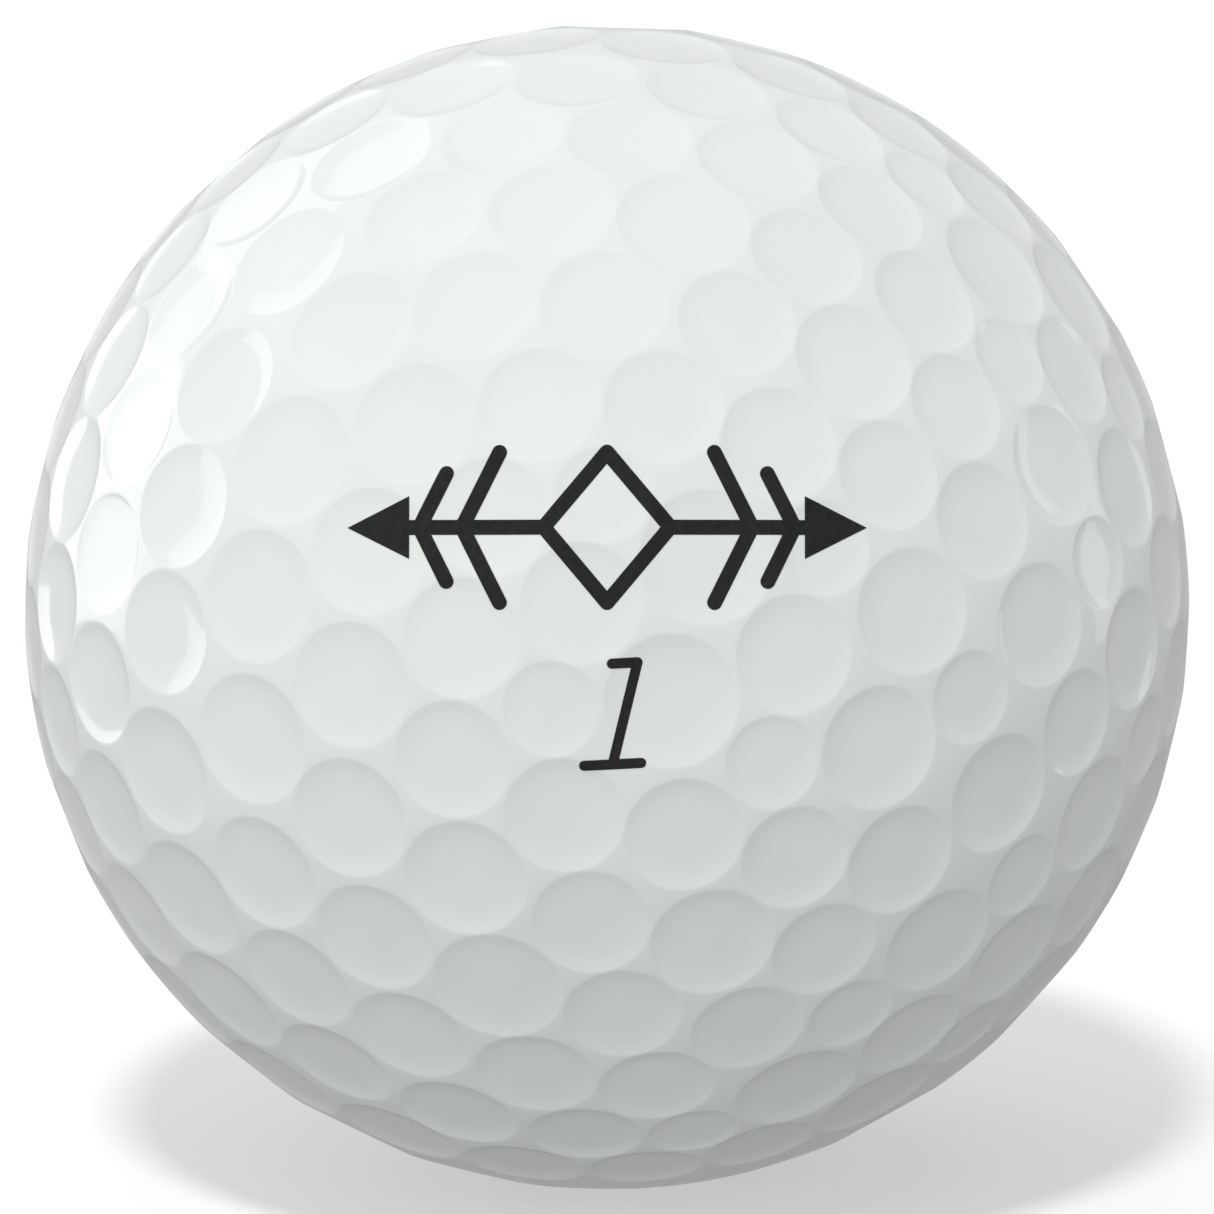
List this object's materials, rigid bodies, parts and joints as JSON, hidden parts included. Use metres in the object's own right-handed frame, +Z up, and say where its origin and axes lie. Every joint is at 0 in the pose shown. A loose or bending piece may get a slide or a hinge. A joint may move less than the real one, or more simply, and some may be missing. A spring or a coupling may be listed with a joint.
{
  "type": "golf ball",
  "caption": "White dimpled golf ball with a rubber core, a two-cup casing, a two-half cover with a wavy parting line, and black marks printed on opposite sides.",
  "frame": {"origin": "centre of the ball", "axes": "+Z is up from the surface the ball lies on, -Y is the side with the first print, +X is to the right when the print is read"},
  "size_m": [0.0426, 0.0428, 0.0426],
  "materials": {
    "core_rubber": "moulded rubber, matt, dyed blue",
    "casing_plastic": "moulded, satin, undyed",
    "cover_plastic": "white, painted and clear coated, high gloss",
    "black_ink": "pad-printed black ink under the clear coat"
  },
  "bodies": {
    "root": {"core": "core_rubber", "casing_half_a": "casing_plastic", "casing_half_b": "casing_plastic", "cover_half_a": "cover_plastic", "cover_half_b": "cover_plastic", "alignment_mark_front": "black_ink", "play_number_front": "black_ink", "alignment_mark_back": "black_ink", "play_number_back": "black_ink"}
  },
  "joints": []
}
